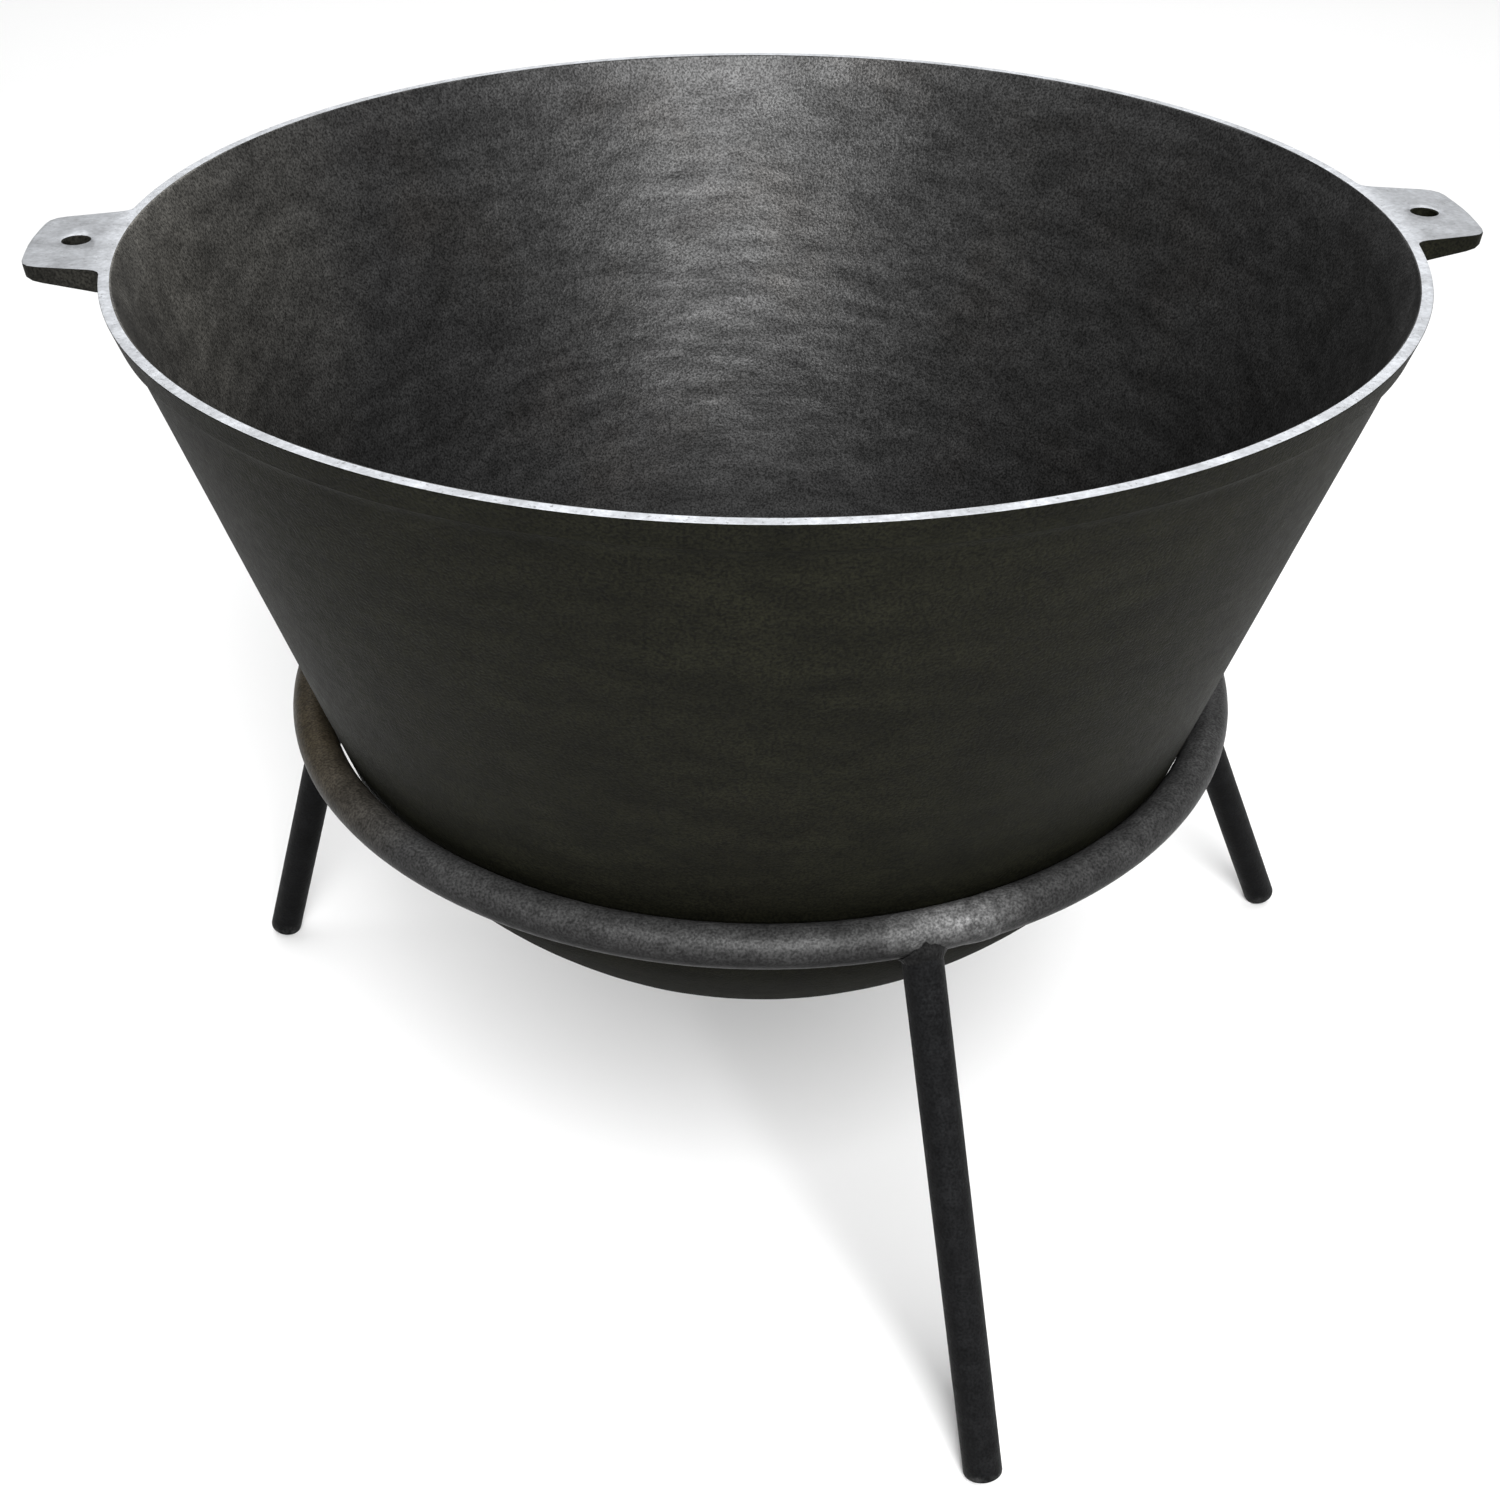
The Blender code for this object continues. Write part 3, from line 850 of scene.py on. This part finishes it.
def black_bar(name, level, tint, roughness, painted_top_light):
    """Rolled bar under mill scale, with painted light: its colour is lighter on the upper side, by the
    factor given for the top, and darker underneath as painted shade.

    Returns the tree with its surface set, the plain colour, how light it is from place to place, and the
    mottle, so that the caller can mix more into the colour before it is finished.
    """
    tree = Tree(name)
    streaks = tree.noise(0.016, 3.0, 0.6, tree.stretched((1.0, 1.0, 1.6)))
    mottle = tree.noise(0.0045, 3.0, 0.6)
    grain = tree.noise(0.0012, 1.0, 0.5)
    # Painted light and shade: the colour is lighter where the surface faces up and darker where it faces
    # down.
    upward = tree.ranged(tree.upward(), -0.25, 0.80, 0.30, painted_top_light)
    amount = tree.product(
        upward,
        tree.ranged(streaks, 0.3, 0.7, 0.78, 1.25),
        tree.ranged(mottle, 0.3, 0.7, 0.82, 1.20),
        tree.ranged(grain, 0.32, 0.68, 0.60, 1.45),
    )
    relief = tree.bump(streaks, 0.00030)
    relief = tree.bump(mottle, 0.00014, relief)
    relief = tree.bump(grain, 0.00012, relief)
    tree.finish(
        roughness=tree.ranged(mottle, 0.3, 0.7, roughness - 0.06, roughness + 0.08),
        normal=relief,
        metallic=0.35,
        specular_ior_level=0.05,
    )
    return tree, shade(level, tint), amount, mottle


def ring_steel(name):
    """The ring's bar, with a bright mottled patch by its weld, partly ground bare steel and partly a
    painted highlight, and a little rust at the left.
    """
    tree, colour, amount, mottle = black_bar(name, level=0.028, tint=NEUTRAL, roughness=0.46, painted_top_light=1.5)
    # Bright mottled patch by the weld: partly ground bare steel, partly a painted highlight.
    weld = polar(RING_RADIUS, RING_WELD_AZIMUTH - math.radians(3.0), RING_HEIGHT + RING_BAR_RADIUS)
    near_weld = tree.ranged(tree.distance_from(weld), *NEAR_RING_WELD, 1.0, 0.0)
    weld_wear_and_highlight = tree.product(near_weld, tree.ranged(mottle, 0.30, 0.70, 0.60, 1.0))
    colour = tree.mixed(weld_wear_and_highlight, colour, shade(0.105))
    rusty = polar(RING_RADIUS, RING_RUST_AZIMUTH, RING_HEIGHT)
    near_rust = tree.ranged(tree.distance_from(rusty), *NEAR_RING_RUST, 0.8, 0.0)
    colour = tree.mixed(near_rust, colour, RING_RUST)
    return tree.finish(base_color=tree.scaled(colour, amount))


def leg_steel(name):
    """The legs' bar, matt black, rubbed lighter just above the ground."""
    tree, colour, amount, mottle = black_bar(name, level=0.009, tint=BLUED, roughness=0.60, painted_top_light=1.1)
    worn = tree.product(
        tree.ranged(tree.height(), *WORN_FOOT, 1.0, 0.0),
        tree.ranged(mottle, 0.40, 0.65),
    )
    colour = tree.mixed(worn, colour, shade(0.14))
    return tree.finish(base_color=tree.scaled(colour, amount))


def weld_metal(name, level, roughness, painted_top_light):
    """Weld metal, blackened in the hollows and rubbed on the high spots."""
    tree, colour, amount, mottle = black_bar(name, level, NEUTRAL, roughness, painted_top_light)
    colour = tree.mixed(tree.ranged(mottle, 0.42, 0.66), colour, shade(level * 1.6))
    return tree.finish(base_color=tree.scaled(colour, amount))


# ---------------------------------------------------------------- stage


def add_floor():
    """The pale studio floor."""
    bpy.ops.mesh.primitive_plane_add(size=FLOOR_SIZE)
    floor = bpy.context.object
    floor.name = "floor"
    tree = Tree("pale_floor")
    pale = tree.mixed(tree.noise(0.5), shade(0.88), shade(0.90))
    floor.data.materials.append(tree.finish(base_color=pale, roughness=0.9, specular_ior_level=0.0))


def add_light(name, place, target, size, power):
    """A rectangular softbox that faces its target."""
    light = bpy.data.lights.new(name, "AREA")
    light.shape = "RECTANGLE"
    light.size, light.size_y = size
    light.energy = power
    lamp = add_object(name, light)
    lamp.location = place
    lamp.rotation_mode = "QUATERNION"
    lamp.rotation_quaternion = (target - place).to_track_quat("-Z", "Y")


def add_lights():
    """An even white surround and the softboxes."""
    world = bpy.data.worlds.new("studio")
    bpy.context.scene.world = world
    world.use_nodes = True
    background = world.node_tree.nodes["Background"]
    background.inputs["Color"].default_value = shade(1.0)
    background.inputs["Strength"].default_value = WORLD_LEVEL
    for name, (place, target, size, power) in LIGHTS.items():
        add_light(name, RIM_MIDDLE + Vector(place), RIM_MIDDLE + Vector(target), size, power)


def add_camera():
    """The camera at the photo's viewing angle."""
    camera = bpy.data.cameras.new("camera")
    camera.lens = CAMERA_LENS
    camera.sensor_width = SENSOR_WIDTH
    camera.clip_start = 0.05
    camera.clip_end = 100.0
    holder = add_object("camera", camera)
    holder.location = RIM_MIDDLE + CAMERA_OFFSET
    level = math.cos(CAMERA_TILT)
    forward = Vector((
        math.sin(CAMERA_HEADING) * level,
        math.cos(CAMERA_HEADING) * level,
        math.sin(CAMERA_TILT),
    ))
    holder.rotation_mode = "QUATERNION"
    roll = Quaternion((0.0, 0.0, 1.0), CAMERA_ROLL)
    holder.rotation_quaternion = forward.to_track_quat("-Z", "Y") @ roll
    bpy.context.scene.camera = holder
    bpy.context.scene.view_settings.view_transform = "Standard"


def main():
    """The studio, then the object's pieces."""
    add_camera()
    add_floor()
    add_lights()
    inside = cast_iron(
        "cast_inside",
        level=0.042,
        tint=NEUTRAL,
        left_ear_colour=shade(0.15, WARM),
        wrinkle_depth=0.0007,
        grain_depth=0.00014,
        roughness=0.46,
        metallic=0.82,
        gloss=0.5,
    )
    outside = cast_iron(
        "cast_outside",
        level=0.0040,
        tint=OLIVE,
        left_ear_colour=shade(0.012, WARM),
        wrinkle_depth=0.00014,
        grain_depth=0.00030,
        roughness=0.60,
        metallic=0.0,
        gloss=0.050,
    )
    add_bowl((inside, machined_iron("machined_rim"), outside))
    add_ring(ring_steel("ring_scale"))
    add_ring_weld(weld_metal("ground_weld", level=0.060, roughness=0.42, painted_top_light=1.5))
    leg_bar = leg_steel("leg_scale")
    bead_metal = weld_metal("bead_metal", level=0.009, roughness=0.55, painted_top_light=1.3)
    for seed, name in enumerate(LEGS, start=LEG_SEED):
        add_leg(name, leg_bar, seed)
        add_leg_weld(name, bead_metal, seed)


main()
